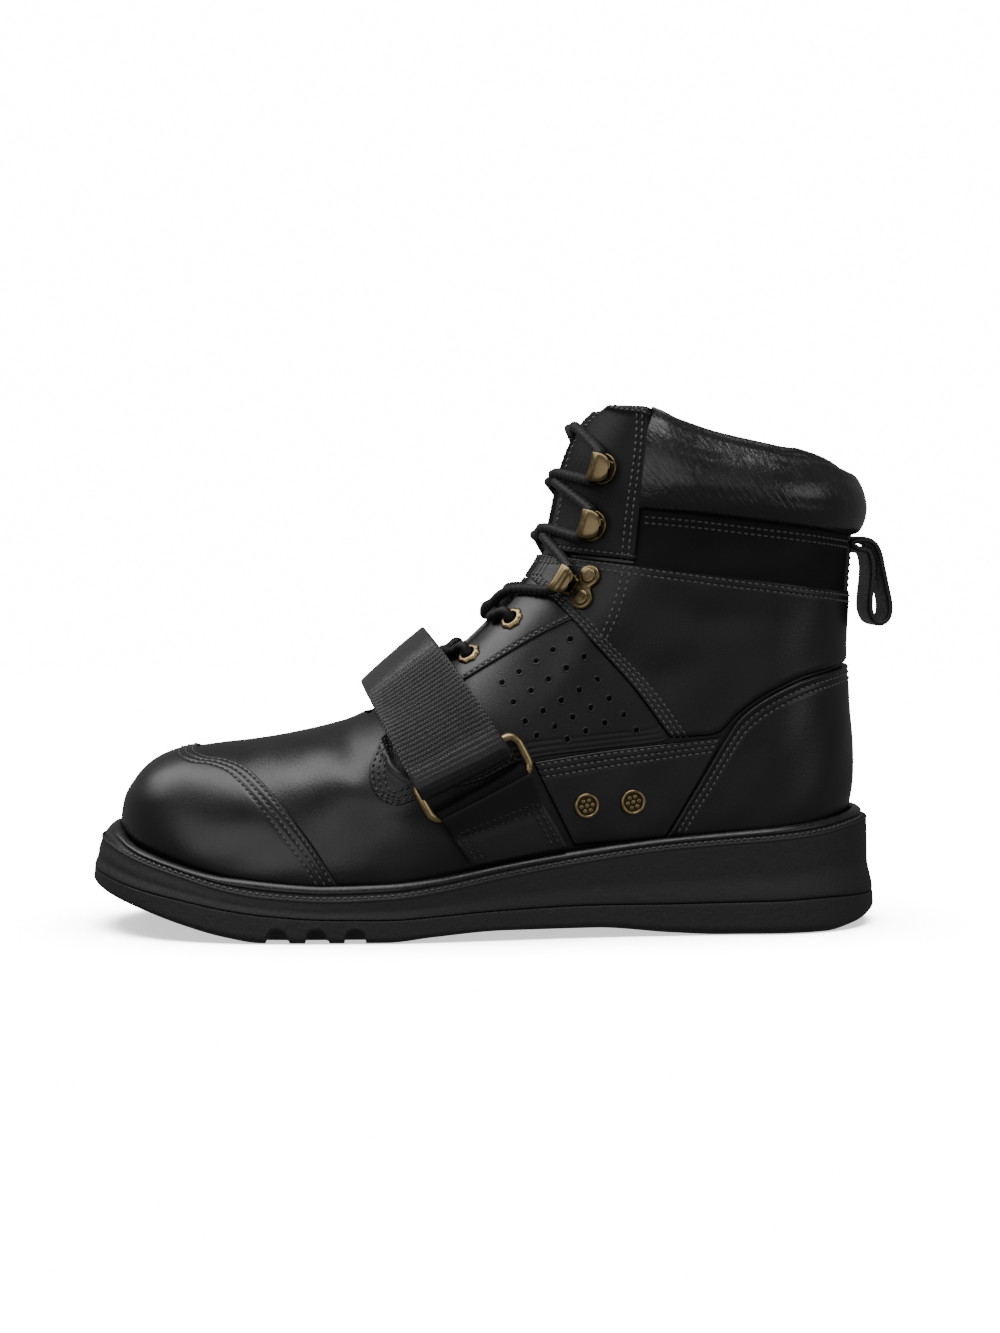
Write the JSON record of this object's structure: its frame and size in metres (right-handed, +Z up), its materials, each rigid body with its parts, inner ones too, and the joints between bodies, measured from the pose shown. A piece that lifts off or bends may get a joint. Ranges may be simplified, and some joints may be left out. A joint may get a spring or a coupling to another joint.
{
  "type": "roofing boot",
  "caption": "Ankle-high black leather roofing boot for the left foot: wedge rubber sole, toe cap, laced hooks, ringed instep strap, padded collar, rear pull loop.",
  "frame": {"origin": "middle of the boot's box seen from above, on the floor plane under the sole", "axes": "+X from the toe towards the heel, +Y towards the inner side of the foot, +Z up"},
  "size_m": [0.3204, 0.1172, 0.2077],
  "materials": {
    "antique_brass": "antique brass, worn bright at the edges",
    "collar_leather": "soft tumbled leather, padded",
    "heel_counter_leather": "smooth polished leather",
    "insole_fabric": "dull woven cover",
    "lace_cord": "braided cord",
    "midsole_rubber": "matte fine-grained rubber",
    "outsole_rubber": "matte moulded rubber",
    "toe_cap_leather": "smooth polished leather",
    "tongue_leather": "soft leather",
    "upper_leather": "smooth satin leather",
    "webbing": "coarse woven webbing",
    "welt_rubber": "matte rubber with a smooth lip"
  },
  "bodies": {
    "root": {"back_strip": "upper_leather", "collar_pad": "collar_leather", "eyelet_lateral_1": "antique_brass", "eyelet_lateral_2": "antique_brass", "eyelet_medial_1": "antique_brass", "eyelet_medial_2": "antique_brass", "facing_lateral": "upper_leather", "facing_medial": "upper_leather", "foxing_lateral": "upper_leather", "foxing_medial": "upper_leather", "heel_counter": "heel_counter_leather", "hook_lateral_1": "antique_brass", "hook_lateral_2": "antique_brass", "hook_lateral_3": "antique_brass", "hook_medial_1": "antique_brass", "hook_medial_2": "antique_brass", "hook_medial_3": "antique_brass", "insole": "insole_fabric", "lace": "lace_cord", "midsole": "midsole_rubber", "outsole": "outsole_rubber", "pull_loop": "webbing", "quarter_lateral": "upper_leather", "quarter_medial": "upper_leather", "side_panel_lateral": "upper_leather", "side_panel_medial": "upper_leather", "strap": "webbing", "strap_ring_lateral": "antique_brass", "strap_ring_medial": "antique_brass", "strap_tab_lateral": "upper_leather", "strap_tab_medial": "upper_leather", "toe_cap": "toe_cap_leather", "tongue": "tongue_leather", "upper": "upper_leather", "vent_1": "antique_brass", "vent_2": "antique_brass", "welt": "welt_rubber"}
  },
  "joints": []
}
